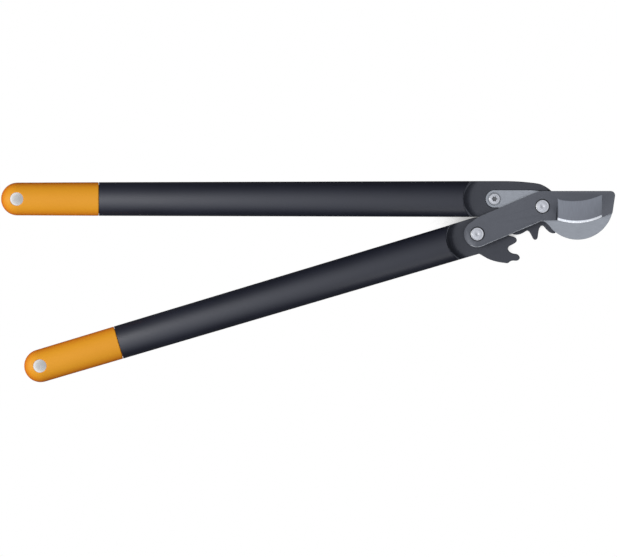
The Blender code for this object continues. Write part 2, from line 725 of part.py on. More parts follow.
def hook_outline():
    """Plan of the hook: its curved jaw, the boss round the pivot bolt, and its tang."""
    tip_x = HOOK_CENTRE[0] + HOOK_RADIUS - 0.6 * MM
    inner = edge_run(tip_x, 16.0 * MM, JAW_OVERLAP)
    boss = arc((0, 0), HOOK_BOSS_RADIUS, math.radians(-30), math.radians(90))
    tang = arc(TANG_CENTRE, TANG_RADIUS, math.radians(90), math.radians(286))
    boss_under = arc((0, 0), HOOK_BOSS_RADIUS, math.radians(250), math.radians(274))
    root = HOOK_NECK[-1]
    start = math.atan2(root[1] - HOOK_CENTRE[1], root[0] - HOOK_CENTRE[0])
    end = math.asin((inner[0][1] - 1.2 * MM - HOOK_CENTRE[1]) / HOOK_RADIUS)
    outer = arc(HOOK_CENTRE, HOOK_RADIUS, start, end, ARC_STEP / 2)
    neck = smooth([boss_under[-1], *HOOK_NECK])
    return without_repeats([*inner, *boss, TANG_SHOULDER, *tang, *boss_under, *neck[:-1], *outer])


def hook_blade():
    hook = plate(hook_outline(), HOOK_BACK, HOOK_FRONT)
    seat = disc(SCREW_SEAT_RADIUS, HOOK_FRONT - SCREW_SEAT_DEPTH, HOOK_FRONT + OVERSHOOT, TANG_CENTRE)
    return cut(hook, through_hole(BOLT_RADIUS + GAP), through_hole(SCREW_RADIUS + GAP, TANG_CENTRE), seat)


# --- Fasteners -------------------------------------------------------------------------------------


def pocket_floor():
    return HEAD_BACK + NUT_POCKET_DEPTH


def headed_bolt(centre, seat, head_radius, head_height, shank_radius, shank_end):
    """A bolt whose head rests on Z = seat and whose shank runs back to shank_end."""
    head = disc(head_radius, seat, seat + head_height, centre)
    return join(head, disc(shank_radius, shank_end, seat + head_height / 2, centre))


def nut_back():
    return pocket_floor() - GAP - WASHER_THICKNESS - GAP - NUT_HEIGHT


def pivot_fastener(centre, prefix, bolt_body, sleeve_body, sleeve_front):
    """Bolt, sleeve, washer and nut round one of the two pivots."""
    seat = BLADE_FRONT - COUNTERBORE_DEPTH + GAP
    bolt = headed_bolt(centre, seat, BOLT_HEAD_RADIUS, BOLT_HEAD_HEIGHT, BOLT_RADIUS, nut_back() + GAP)
    sleeve_outer = BOLT_RADIUS + GAP + SLEEVE_WALL
    sleeve = ring(sleeve_outer, BOLT_RADIUS + GAP, pocket_floor() + GAP, sleeve_front, centre)
    washer_front = pocket_floor() - GAP
    washer = ring(WASHER_RADIUS, BOLT_RADIUS + GAP, washer_front - WASHER_THICKNESS, washer_front, centre)
    hexagon = nut(NUT_ACROSS_FLATS, BOLT_RADIUS + GAP, nut_back(), nut_back() + NUT_HEIGHT, centre)
    as_part(bolt, prefix + "_bolt", BRIGHT_STEEL, bolt_body)
    as_part(sleeve, prefix + "_sleeve", PLAIN_STEEL, sleeve_body)
    as_part(washer, prefix + "_washer", PLAIN_STEEL, bolt_body)
    as_part(hexagon, prefix + "_nut", PLAIN_STEEL, bolt_body)


def socket_cutter(top):
    """The six-lobed driver recess of the tang screw."""
    count = SOCKET_LOBES * 8
    outline = []
    for i in range(count):
        wave = math.cos(SOCKET_LOBES * math.tau * i / count)
        outline.append(polar(math.tau * i / count, SOCKET_RADIUS * (1 + 0.13 * wave), TANG_CENTRE))
    return plate(outline, top - SOCKET_DEPTH, top + OVERSHOOT)


def tang_fastener():
    """Screw, washer and nut that hold the hook's tang in the upper head."""
    seat = HOOK_FRONT - SCREW_SEAT_DEPTH + GAP
    washer_front = pocket_floor() - GAP
    nut_front = washer_front - WASHER_THICKNESS - GAP
    nut_end = nut_front - SCREW_NUT_HEIGHT
    screw = headed_bolt(
        TANG_CENTRE, seat, SCREW_HEAD_RADIUS, SCREW_HEAD_HEIGHT, SCREW_RADIUS, nut_end + GAP
    )
    cut(screw, socket_cutter(seat + SCREW_HEAD_HEIGHT))
    washer = ring(SCREW_WASHER_RADIUS, SCREW_RADIUS + GAP, nut_front + GAP, washer_front, TANG_CENTRE)
    hexagon = nut(SCREW_NUT_ACROSS_FLATS, SCREW_RADIUS + GAP, nut_end, nut_front, TANG_CENTRE)
    as_part(screw, "tang_screw", BRIGHT_STEEL, UPPER_HANDLE)
    as_part(washer, "tang_washer", PLAIN_STEEL, UPPER_HANDLE)
    as_part(hexagon, "tang_nut", PLAIN_STEEL, UPPER_HANDLE)


def thrust_washer():
    front = BLADE_BACK - GAP
    return ring(SEAT_RADIUS - 0.6 * MM, BOLT_RADIUS + GAP, front - THRUST_WASHER_THICKNESS, front)


# --- Assembly --------------------------------------------------------------------------------------


def set_down(root):
    """Moves the tool so that the middle of its box's underside is the origin."""
    bpy.context.view_layer.update()
    corners = np.array([
        obj.matrix_world @ vertex.co
        for obj in PARTS.objects if obj.type == "MESH" for vertex in obj.data.vertices
    ])
    low, high = corners.min(axis=0), corners.max(axis=0)
    root.location = (-(low[0] + high[0]) / 2, -(low[1] + high[1]) / 2, -low[2])


def upper_handle():
    tube = handle_tube(UPPER_SEAM, UPPER_TUBE_LENGTH, UPPER_AXIS_RISE)
    grip = handle_grip(UPPER_SEAM, UPPER_TUBE_LENGTH, UPPER_AXIS_RISE)
    as_part(tube, "upper_tube", DARK_COMPOSITE, UPPER_HANDLE)
    as_part(grip, "upper_grip", ORANGE_GRIP, UPPER_HANDLE)
    as_part(upper_head(), "upper_head", GREY_COMPOSITE, UPPER_HANDLE)
    as_part(hook_blade(), "hook_blade", SATIN_STEEL, UPPER_HANDLE)
    tang_fastener()


def lower_handle():
    tube = handle_tube(LOWER_SEAM, LOWER_TUBE_LENGTH, -LOWER_AXIS_DROP)
    grip = handle_grip(LOWER_SEAM, LOWER_TUBE_LENGTH, -LOWER_AXIS_DROP)
    as_part(tube, "lower_tube", DARK_COMPOSITE, LOWER_HANDLE)
    as_part(grip, "lower_grip", ORANGE_GRIP, LOWER_HANDLE)
    as_part(lower_head(), "lower_head", GREY_COMPOSITE, LOWER_HANDLE)
    as_part(thrust_washer(), "thrust_washer", BLACK_NYLON, LOWER_HANDLE)


def jaw_and_pivots():
    as_part(cutting_blade(), "cutting_blade", COATED_STEEL, BLADE)
    pivot_fastener((0.0, 0.0), "pivot", UPPER_HANDLE, UPPER_HANDLE, GEAR_FRONT)
    pivot_fastener((0.0, 0.0), "lever", LEVER, LOWER_HANDLE, seat_front())


clear_scene()
PARTS = new_collection("pruning_shears")
CUTTERS = new_collection("cutters")

DARK_COMPOSITE = finish("dark_composite", (0.030, 0.033, 0.043), 0.42)
GREY_COMPOSITE = finish("grey_composite", (0.060, 0.065, 0.078), 0.60)
ORANGE_GRIP = finish("orange_grip", (0.80, 0.30, 0.02), 0.50)
COATED_STEEL = finish("coated_steel", (0.10, 0.105, 0.125), 0.45, 0.3)
SATIN_STEEL = finish("satin_steel", (0.45, 0.47, 0.50), 0.35, 1.0)
BRIGHT_STEEL = finish("bright_steel", (0.75, 0.76, 0.78), 0.25, 1.0)
PLAIN_STEEL = finish("plain_steel", (0.50, 0.51, 0.52), 0.40, 1.0)
BLACK_NYLON = finish("black_nylon", (0.02, 0.02, 0.02), 0.50)

UPPER_HANDLE = pivot_empty("upper_handle_axis", None, (0, 0, 0), 0)
BLADE = pivot_empty("pivot_bolt_axis", UPPER_HANDLE, (0, 0, 0), 0)
LEVER = pivot_empty("lever_bolt_axis", BLADE, (*lever_bolt(), 0), 0)
LOWER_HANDLE = pivot_empty("lower_handle_axis", LEVER, (0, 0, 0), LOWER_HANDLE_ANGLE)

upper_handle()
jaw_and_pivots()
lower_handle()
set_down(UPPER_HANDLE)
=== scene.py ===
"""Long-handled geared pruning shears, lying flat with the jaw closed."""

import json
import math

import bmesh
import bpy
from bpy.props import FloatProperty, FloatVectorProperty, PointerProperty
from mathutils import Matrix, Vector

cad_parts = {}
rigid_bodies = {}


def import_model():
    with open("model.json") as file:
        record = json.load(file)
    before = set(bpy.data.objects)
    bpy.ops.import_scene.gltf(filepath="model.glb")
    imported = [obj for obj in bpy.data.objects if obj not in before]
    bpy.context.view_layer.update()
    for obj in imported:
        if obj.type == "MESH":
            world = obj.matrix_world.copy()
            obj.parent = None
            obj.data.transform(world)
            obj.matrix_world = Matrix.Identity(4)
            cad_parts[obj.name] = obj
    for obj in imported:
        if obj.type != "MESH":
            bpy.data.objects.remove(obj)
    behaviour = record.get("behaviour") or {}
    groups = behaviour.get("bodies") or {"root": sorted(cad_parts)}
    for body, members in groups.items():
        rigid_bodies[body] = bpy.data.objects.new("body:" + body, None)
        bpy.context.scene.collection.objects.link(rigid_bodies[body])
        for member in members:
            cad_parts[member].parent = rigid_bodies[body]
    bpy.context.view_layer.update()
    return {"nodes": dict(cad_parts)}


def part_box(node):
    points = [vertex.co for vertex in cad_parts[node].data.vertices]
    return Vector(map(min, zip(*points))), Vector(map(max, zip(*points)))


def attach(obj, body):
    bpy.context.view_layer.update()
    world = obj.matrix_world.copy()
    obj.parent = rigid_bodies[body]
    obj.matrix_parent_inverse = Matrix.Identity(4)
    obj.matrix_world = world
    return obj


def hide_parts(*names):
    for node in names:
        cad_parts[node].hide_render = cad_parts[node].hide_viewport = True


bl_info = {
    "name": "Geared pruning shears",
    "version": (1, 0, 0),
    "blender": (4, 5, 0),
    "location": "3D View > Sidebar > Shears",
    "description": "Builds the shears' pieces, their finishes and the table they lie on",
    "category": "Object",
}

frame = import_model()

MM = 0.001
HANDLE_ANGLE = math.radians(16.6)  # the lower handle's rise towards its head
TUBE_WALL = 2.2 * MM
TUBE_SIDES = 96
SEAM_BOW = 7.4 * MM  # how deep a tube's end is scooped round its head
SPIGOT = 12 * MM  # how far a head reaches into its tube behind the seam
TOLERANCE = 1 * MM  # for picking out the vertices at one end of a tube

GRIP_ROUNDS = 8  # smoothing rounds
HEAD_ROUNDS = 3
HEAD_KEEP = 0.55  # share of a head's triangles that stay

EDGE_SIDE = 8 * MM  # the bared rim, also a painted highlight, runs at least this far to one side of the line between the bolts
TAIL_END = 14 * MM  # and starts this far behind the lever bolt
RIM_OVERRUN = 2 * MM  # and stops this far past the pivot bolt
RECESS_REACH = 9 * MM  # radius round a bolt within which the blade is recessed
RECESS_DEPTH = 0.3 * MM  # and how far below the front face, at least
JAW_START = 12 * MM  # how far past the pivot bolt the ground faces begin
GROUND_TILT = (0.96, 0.9999)  # upward part of a face's normal where the wheel ground it
HONED_TILT = (0.80, 0.96)  # and where the edge is honed
GROUND_DEPTH = 0.02 * MM  # how far below the front face the ground faces lie, at least
FLUSH = 0.01 * MM  # how near the front face counts as on it
HOOK_LINES = math.radians(-8)  # the direction of the hook's brushed lines
COATED, GROUND, HONED, RECESS_SHADE, BARED_HIGHLIGHT = range(5)  # the order of the blade's materials

BOLT_SHANK = 4.0 * MM
BOLT_HEAD = 2.4 * MM  # height of the head
BOLT_CROWN = 0.18 * MM  # how far the turned face starts below the bolt's top
TURNING_PITCH = 0.55 * MM  # of the fine lines on the turned faces
SCREW_SHANK = 3.0 * MM
SCREW_HEAD = 2.2 * MM
SCREW_CROWN = 0.2 * MM
SCREW_PITCH = 0.6 * MM
CHAMFER_RISE = 0.7  # height of a head's chamfer, as a share of its width
BURR = 0.12 * MM  # rounding left on the turned edges
SOCKET_DEPTH = 1.7 * MM
SOCKET_RADIUS = 2.35 * MM
SOCKET_LOBES = 6
LOBE_RADIUS = 0.85 * MM
# A bolt head's turned rings from its chamfer in: a share of its radius, and the rise across it in mm.
TURNED_RINGS = (
    (0.08, -0.02), (0.04, -0.05), (0.03, 0.0), (0.04, 0.05),
    (0.16, 0.05), (0.16, 0.04), (0.10, 0.0), (0.12, -0.14), (0.12, -0.20),
)
# The nuts and their washers: across flats, the washer's radius and the bore.
BOLT_NUT = (13.0 * MM, 7.6 * MM, 4.3 * MM)
SCREW_NUT = (10.0 * MM, 6.4 * MM, 3.3 * MM)
NUT_CORNER = 1.13  # radius of the turned corners, as a share of half the width across flats
NUT_CHAMFER = 0.9 * MM
NUT_RIM = 0.15 * MM
WASHER_RIM = 0.2 * MM

TABLE_SIZE = 12
TABLE_Z = -0.3 * MM
TABLE_REFLECTS = 0.08  # share of the light that the table returns to the shears
SHADE_REACH = 28 * MM  # how near a piece must be to shade the table
SHADE_DEPTH = 0.41  # the table's brightness where it is most hidden
CAMERA_HEIGHT = 2.0
VIEW_LEFT, VIEW_DOWN = 263.6 * MM, 81.3 * MM  # from the pivot bolt to the middle of the view
LIGHT_LEAN = math.radians(10)  # how far the overhead glow leans to the near side
SKY_COLOUR = (0.94, 0.97, 1.07, 1)
# The lamps: name, place, target, size and watts.
LAMPS = (
    ("Left light", (-1.9, 0.0, 1.6), (0, 0, 0), (1.3, 2.4), 39.0),
    ("Jaw card", (0.32, -0.24, 0.28), (0.31, 0.06, 0.02), (0.36, 0.12), 0.15),
)


def middle(node):
    """Centre of a CAD node's box."""
    low, high = (Vector(corner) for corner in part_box(node))
    return (low + high) / 2


def top_of(node):
    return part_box(node)[1][2]


def bottom_of(node):
    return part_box(node)[0][2]


PIVOT = middle("pivot_sleeve")
LEVER = middle("lever_sleeve")
TANG = middle("tang_washer")
MID_Z = middle("upper_tube").z
# Each handle's own frame, with X along it towards its head.
HANDLE_FRAMES = {
    "upper": Matrix.Translation((PIVOT.x, PIVOT.y, MID_Z)),
    "lower": Matrix.Translation((LEVER.x, LEVER.y, MID_Z)) @ Matrix.Rotation(HANDLE_ANGLE, 4, "Z"),
}


def tube_points(side):
    """The vertices of a handle's CAD tube, in the handle's own frame."""
    away = HANDLE_FRAMES[side].inverted()
    return [away @ vertex.co for vertex in frame["nodes"][side + "_tube"].data.vertices]


def seam_of(points):
    """How far along the handle the middle of the tube's scooped end is."""
    return max(point.x for point in points) - SEAM_BOW


# --- Settings --------------------------------------------------------------------------------------


def colour(name, default, description):
    return FloatVectorProperty(
        name=name, description=description, subtype="COLOR", size=3, min=0, max=1, default=default
    )


def length(name, default, description):
    return FloatProperty(name=name, description=description, unit="LENGTH", min=0, default=default)


class HandleSettings(bpy.types.PropertyGroup):
    """Tubes, heads and grips"""

    tube_colour: colour("Tube", (0.009, 0.0105, 0.020), "Coating of the two oval tubes")
    head_colour: colour("Heads", (0.038, 0.041, 0.051), "Moulded composite of the two heads")
    grip_colour: colour("Grips", (0.89, 0.375, 0.016), "Soft moulding of the two grips")
    # painted shading: the deeper orange of the grips where they curve away from view
    grip_rim_shade_colour: colour("Grip rim shade", (0.86, 0.20, 0.008), "The grips where they curve away")
    grip_voxel: length("Grip detail", 0.5 * MM, "Size of the grid that rounds the grips' edges")
    head_voxel: length("Head detail", 0.45 * MM, "Size of the grid that rounds the heads' edges")
    tube_lip: length("Tube lip", 0.12 * MM, "Rounding of the tubes' ends")


class JawSettings(bpy.types.PropertyGroup):
    """Blade and hook"""

    coating_colour: colour("Coating", (0.084, 0.089, 0.102), "Non-stick coating of the cutting blade")
    ground_colour: colour("Ground face", (0.205, 0.215, 0.232), "Bare steel that the wheel ground")
    honed_colour: colour("Honed edge", (0.77, 0.79, 0.81), "Bare steel of the cutting edge")
    hook_colour: colour("Hook", (0.325, 0.34, 0.355), "Satin steel of the hook")
    # partly painted highlight: the bared rim's light steel lies along the lower side only
    rim_colour: colour("Bared rim", (0.66, 0.68, 0.70), "Steel along the blade's lower rim")
    bared_rim: length("Bared rim width", 0.7 * MM, "Width of the blade's lower rim")
    rim: length("Rim", 0.3 * MM, "Rounding of the blade's and the hook's edges")


class FastenerSettings(bpy.types.PropertyGroup):
    """Bolts, screw, nuts and washers"""

    bright_colour: colour("Bolt heads", (0.55, 0.555, 0.56), "Bright turned steel")
    plated_colour: colour("Nuts and washers", (0.55, 0.55, 0.54), "Zinc-plated steel")
    head_radius: length("Bolt head", 7.4 * MM, "Radius of a pivot bolt's head")
    screw_radius: length("Screw head", 6.3 * MM, "Radius of the tang screw's head")
    chamfer: length("Chamfer", 0.4 * MM, "Chamfer round each head")


class StageSettings(bpy.types.PropertyGroup):
    """Table and camera"""

    floor_colour: colour("Floor", (1.0, 1.0, 1.0), "Table that the shears lie on")
    view_width: length("View width", 0.695, "Width that the camera takes in")


# --- Modelling -------------------------------------------------------------------------------------


def deselect_all():
    for obj in bpy.data.objects:
        obj.select_set(False)


def only(obj):
    """Makes obj the active object and the only one selected."""
    deselect_all()
    obj.select_set(True)
    bpy.context.view_layer.objects.active = obj
    return obj


def named(name):
    """The primitive just added, under its own name."""
    obj = bpy.context.object
    obj.name = obj.data.name = name
    return obj


def settle(obj):
    """Puts the piece's place in its mesh, with its object at the origin."""
    only(obj)
    bpy.ops.object.transform_apply(location=True, rotation=True, scale=True)
    return obj


def modify(obj, kind, **settings):
    """Adds a modifier and applies it."""
    only(obj)
    modifier = obj.modifiers.new(kind.title(), kind)
    for name, value in settings.items():
        setattr(modifier, name, value)
    bpy.ops.object.modifier_apply(modifier=modifier.name)
    return obj


def combine(obj, operation, other):
    """Applies a Boolean with another object and removes that object."""
    modify(obj, "BOOLEAN", operation=operation, object=other)
    bpy.data.objects.remove(other, do_unlink=True)
    return obj


def cut(obj, cutter):
    return combine(obj, "DIFFERENCE", cutter)


def keep_within(obj, limit):
    return combine(obj, "INTERSECT", limit)


def rim_rounded(obj, width, segments=3, angle=35):
    return modify(
        obj, "BEVEL", width=width, segments=segments, limit_method="ANGLE",
        angle_limit=math.radians(angle), use_clamp_overlap=True, miter_outer="MITER_ARC",
    )


def smooth(obj, angle=32):
    only(obj)
    bpy.ops.object.shade_smooth_by_angle(angle=math.radians(angle))
    return obj


def select_where(obj, kind, test):
    """Enters edit mode and selects only the vertices, edges or faces that pass the test."""
    only(obj)
    bpy.ops.object.mode_set(mode="EDIT")
    bpy.ops.mesh.select_mode(type={"verts": "VERT", "edges": "EDGE", "faces": "FACE"}[kind])
    bpy.ops.mesh.select_all(action="DESELECT")
    mesh = bmesh.from_edit_mesh(obj.data)
    for element in getattr(mesh, kind):
        if test(element):
            element.select_set(True)
    mesh.select_flush_mode()
    bmesh.update_edit_mesh(obj.data)


def leave_edit():
    bpy.ops.object.mode_set(mode="OBJECT")


def cylinder(name, radius, low, high, centre, sides=64, turn=0.0):
    """An upright cylinder between two heights."""
    deselect_all()
    bpy.ops.mesh.primitive_cylinder_add(
        vertices=sides, radius=radius, depth=high - low,
        location=(centre.x, centre.y, (low + high) / 2), rotation=(0, 0, turn),
    )
    return settle(named(name))


def from_node(node, name):
    """A welded copy of a CAD node's mesh to work up, with its flat faces made whole."""
    source = frame["nodes"][node]
    mesh = source.data.copy()
    mesh.name = name
    obj = bpy.data.objects.new(name, mesh)
    bpy.context.scene.collection.objects.link(obj)
    obj.matrix_world = source.matrix_world
    settle(obj)
    bpy.ops.object.mode_set(mode="EDIT")
    bpy.ops.mesh.select_all(action="SELECT")
    bpy.ops.mesh.remove_doubles(threshold=0.002 * MM)
    bpy.ops.mesh.dissolve_limited(angle_limit=math.radians(0.3))
    leave_edit()
    return obj


def cut_off_behind(obj, point, direction):
    """Removes what lies behind a plane and closes the cut."""
    only(obj)
    bpy.ops.object.mode_set(mode="EDIT")
    bpy.ops.mesh.select_all(action="SELECT")
    bpy.ops.mesh.bisect(plane_co=point, plane_no=direction, use_fill=True, clear_inner=True)
    leave_edit()
    return obj


def moulded(obj, voxel, rounds, keep=1):
    """Rounds every edge as a mould does: a fine grid, smoothed, then thinned to a share."""
    modify(obj, "REMESH", mode="VOXEL", voxel_size=voxel, use_smooth_shade=True)
    modify(obj, "SMOOTH", factor=0.5, iterations=rounds)
    if keep < 1:
        modify(obj, "DECIMATE", ratio=keep)
    obj.data.shade_smooth()
    return obj


def dress(obj, *materials):
    obj.data.materials.clear()
    for material in materials:
        obj.data.materials.append(material)
    return obj


def stand_for(obj, body, slot, *nodes):
    """The piece rides on a body and stands for its CAD nodes, which it hides; slot is not used."""
    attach(obj, body)
    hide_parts(*nodes)


# --- Finishes --------------------------------------------------------------------------------------


class Tree:
    """Short ways to add and join shader nodes."""

    def __init__(self, tree):
        self.tree = tree

    def add(self, kind, **settings):
        node = self.tree.nodes.new(kind)
        for name, value in settings.items():
            setattr(node, name, value)
        return node

    def join(self, source, target):
        self.tree.links.new(source, target)

    def maths(self, operation, a, b, clamp=False):
        node = self.add("ShaderNodeMath", operation=operation, use_clamp=clamp)
        for socket, value in zip(node.inputs, (a, b)):
            if isinstance(value, (int, float)):
                socket.default_value = value
            else:
                self.join(value, socket)
        return node.outputs[0]

    def ramp(self, value, low, high, to_low=0.0, to_high=1.0):
        node = self.add("ShaderNodeMapRange", clamp=True)
        self.join(value, node.inputs["Value"])
        numbers = {"From Min": low, "From Max": high, "To Min": to_low, "To Max": to_high}
        for name, number in numbers.items():
            node.inputs[name].default_value = number
        return node.outputs["Result"]

    def blend(self, share, a, b):
        """The colour a where share is 0 and b where it is 1."""
        node = self.add("ShaderNodeMix", data_type="RGBA")
        for name, kind, value in (("Factor", "VALUE", share), ("A", "RGBA", a), ("B", "RGBA", b)):
            socket = next(s for s in node.inputs if s.name == name and s.type == kind)
            if isinstance(value, tuple):
                socket.default_value = (*value, 1.0)
            else:
                self.join(value, socket)
        return next(s for s in node.outputs if s.type == "RGBA")

    def noise(self, vector, scale, detail=3.0, roughness=0.55):
        node = self.add("ShaderNodeTexNoise")
        self.join(vector, node.inputs["Vector"])
        if isinstance(scale, (int, float)):
            node.inputs["Scale"].default_value = scale
        else:
            self.join(scale, node.inputs["Scale"])
        node.inputs["Detail"].default_value = detail
        node.inputs["Roughness"].default_value = roughness
        return node.outputs["Fac"]

    def coordinates(self, stretch=(1, 1, 1), centre=(0, 0, 0), turn=0.0):
        """Object coordinates, moved to a centre, turned about Z and stretched."""
        place = self.add("ShaderNodeMapping", vector_type="POINT")
        place.inputs["Location"].default_value = -(Matrix.Rotation(turn, 3, "Z") @ Vector(centre))
        place.inputs["Rotation"].default_value = (0, 0, turn)
        squeeze = self.add("ShaderNodeVectorMath", operation="MULTIPLY")
        squeeze.inputs[1].default_value = stretch
        self.join(self.add("ShaderNodeTexCoord").outputs["Object"], place.inputs["Vector"])
        self.join(place.outputs["Vector"], squeeze.inputs[0])
        return squeeze.outputs["Vector"]


def new_group(name, inputs, outputs):
    """An empty node group with its inputs and float outputs, and its two end nodes."""
    group = bpy.data.node_groups.new(name, "ShaderNodeTree")
    for socket, (kind, default) in inputs.items():
        made = group.interface.new_socket(name=socket, in_out="INPUT", socket_type=kind)
        if default is not None:
            made.default_value = default
    for socket in outputs:
        group.interface.new_socket(name=socket, in_out="OUTPUT", socket_type="NodeSocketFloat")
    tree = Tree(group)
    return tree, tree.add("NodeGroupInput"), tree.add("NodeGroupOutput")


def grain_group():
    """Fine moulded or sprayed grain, with a slow drift from one area to the next."""
    tree, start, end = new_group(
        "Grain", {"Vector": ("NodeSocketVector", None), "Scale": ("NodeSocketFloat", 1800.0)},
        ("Height", "Speckle", "Drift"),
    )
    vector, scale = start.outputs["Vector"], start.outputs["Scale"]
    fine = tree.noise(vector, scale, 4.0, 0.6)
    coarse = tree.noise(vector, tree.maths("MULTIPLY", scale, 0.31), 2.0)
    tree.join(tree.maths("ADD", fine, tree.maths("MULTIPLY", coarse, 0.6)), end.inputs["Height"])
    tree.join(tree.ramp(fine, 0.35, 0.65), end.inputs["Speckle"])
    tree.join(tree.ramp(tree.noise(vector, 14.0, 3.0), 0.3, 0.7), end.inputs["Drift"])


def lines_group():
    """Fine parallel lines from a wheel or brush, in coordinates already stretched along them."""
    tree, start, end = new_group(
        "Brushed lines", {"Vector": ("NodeSocketVector", None), "Scale": ("NodeSocketFloat", 1.0)},
        ("Height", "Streak"),
    )
    vector, scale = start.outputs["Vector"], start.outputs["Scale"]
    fine = tree.noise(vector, tree.maths("MULTIPLY", scale, 3.1), 5.0, 0.7)
    broad = tree.noise(vector, scale, 3.0, 0.6)
    tree.join(tree.maths("ADD", fine, broad), end.inputs["Height"])
    tree.join(tree.ramp(broad, 0.3, 0.7), end.inputs["Streak"])


def wear_group():
    """Where corners are rubbed, 0 to 1, broken up by noise."""
    tree, start, end = new_group(
        "Rubbed corners", {"Vector": ("NodeSocketVector", None), "Reach": ("NodeSocketFloat", 0.05)},
        ("Mask",),
    )
    sharpness = tree.add("ShaderNodeNewGeometry").outputs["Pointiness"]
    above_flat = tree.maths("SUBTRACT", sharpness, 0.505)
    raised = tree.maths("DIVIDE", above_flat, start.outputs["Reach"], clamp=True)
    broken = tree.ramp(tree.noise(start.outputs["Vector"], 420.0, 5.0, 0.7), 0.25, 0.75, 0.35, 1.0)
    tree.join(tree.maths("MULTIPLY", raised, broken), end.inputs["Mask"])


class Finish:
    """A material under construction, with its Principled shader in it."""

    def __init__(self, name, metallic=0.0, **constants):
        self.material = bpy.data.materials.new(name)
        self.material.use_nodes = True
        self.tree = Tree(self.material.node_tree)
        self.shader = self.material.node_tree.nodes["Principled BSDF"]
        self.shader.inputs["Metallic"].default_value = metallic
        for socket, value in constants.items():
            self.shader.inputs[socket.replace("_", " ")].default_value = value

    def group(self, name, vector, **values):
        node = self.tree.add("ShaderNodeGroup", node_tree=bpy.data.node_groups[name])
        self.tree.join(vector, node.inputs["Vector"])
        for socket, value in values.items():
            node.inputs[socket].default_value = value
        return node.outputs

    def set(self, socket, source):
        self.tree.join(source, self.shader.inputs[socket])

    def mottled(self, grain, base, drift, share, speckle):
        """A colour that drifts a little darker and lighter, with specks of another shade of it."""
        tree = self.tree
        drifted = tree.blend(grain["Drift"], shade_of(base, 1 - drift), shade_of(base, 1 + drift))
        specks = tree.maths("MULTIPLY", grain["Speckle"], share)
        return tree.blend(specks, drifted, shade_of(base, speckle))

    def rubbed(self, at, reach, share, under, bare):
        """A colour that turns towards a barer one where corners are rubbed."""
        worn = self.group("Rubbed corners", at, Reach=reach)
        return self.tree.blend(self.tree.maths("MULTIPLY", worn["Mask"], share), under, bare)

    def relief(self, height, strength, depth):
        bump = self.tree.add("ShaderNodeBump")
        bump.inputs["Strength"].default_value = strength
        bump.inputs["Distance"].default_value = depth
        self.tree.join(height, bump.inputs["Height"])
        self.set("Normal", bump.outputs["Normal"])


def shade_of(rgb, factor):
    return tuple(min(1.0, channel * factor) for channel in rgb)


def tube_coating(settings):
    """Satin powder coating, blue-black, a little uneven in its gloss."""
    finish = Finish("Tube coating", Coat_Weight=0.15, Coat_Roughness=0.3, IOR=1.64)
    tree = finish.tree
    grain = finish.group("Grain", tree.coordinates(), Scale=1500.0)
    finish.set("Base Color", finish.mottled(grain, tuple(settings.tube_colour), 0.14, 0.3, 1.7))
    finish.set("Roughness", tree.ramp(grain["Drift"], 0.0, 1.0, 0.40, 0.47))
    finish.relief(grain["Height"], 0.12, 0.02 * MM)
    return finish.material


def head_composite(settings):
    """Glass-filled composite from a spark-eroded mould, paler where its corners are rubbed."""
    finish = Finish("Head composite", IOR=1.50)
    tree = finish.tree
    at = tree.coordinates()
    grain = finish.group("Grain", at, Scale=1250.0)
    base = tuple(settings.head_colour)
    speckled = finish.mottled(grain, base, 0.12, 0.35, 1.6)
    finish.set("Base Color", finish.rubbed(at, 0.09, 0.45, speckled, shade_of(base, 2.6)))
    finish.set("Roughness", tree.ramp(grain["Speckle"], 0.0, 1.0, 0.52, 0.66))
    finish.relief(grain["Height"], 0.35, 0.05 * MM)
    return finish.material


def grip_moulding(settings):
    """Soft orange moulding, finely pebbled, with painted shading: redder where it curves away."""
    finish = Finish("Grip moulding", IOR=1.36)
    tree = finish.tree
    facing = tree.add("ShaderNodeLayerWeight")
    facing.inputs["Blend"].default_value = 0.5
    at = tree.coordinates()
    grain = finish.group("Grain", at, Scale=1100.0)
    base = tuple(settings.grip_colour)
    drifted = tree.blend(grain["Drift"], (base[0] * 0.97, base[1] * 0.94, base[2] * 0.85), base)
    # painted shading: deeper, redder orange where the surface turns away from view
    rim = tree.ramp(facing.outputs["Facing"], 0.10, 0.62)
    rim_shaded = tree.blend(rim, drifted, tuple(settings.grip_rim_shade_colour))
    pebbled = tree.blend(tree.maths("MULTIPLY", grain["Speckle"], 0.18), rim_shaded, shade_of(base, 0.78))
    finish.set("Base Color", finish.rubbed(at, 0.10, 0.25, pebbled, shade_of(base, 1.25)))
    finish.set("Roughness", tree.ramp(grain["Speckle"], 0.0, 1.0, 0.46, 0.58))
    finish.relief(grain["Height"], 0.22, 0.05 * MM)
    return finish.material


def blade_coating(settings):
    """Non-stick coating over rolled steel, faintly cloudy, with bare steel at its rubbed corners."""
    finish = Finish("Blade coating", metallic=0.35, IOR=1.5)
    tree = finish.tree
    at = tree.coordinates()
    grain = finish.group("Grain", at, Scale=1700.0)
    speckled = finish.mottled(grain, tuple(settings.coating_colour), 0.16, 0.3, 1.5)
    finish.set("Base Color", finish.rubbed(at, 0.12, 0.35, speckled, (0.42, 0.43, 0.45)))
    finish.set("Roughness", tree.ramp(grain["Drift"], 0.0, 1.0, 0.42, 0.52))
    finish.relief(grain["Height"], 0.14, 0.02 * MM)
    return finish.material


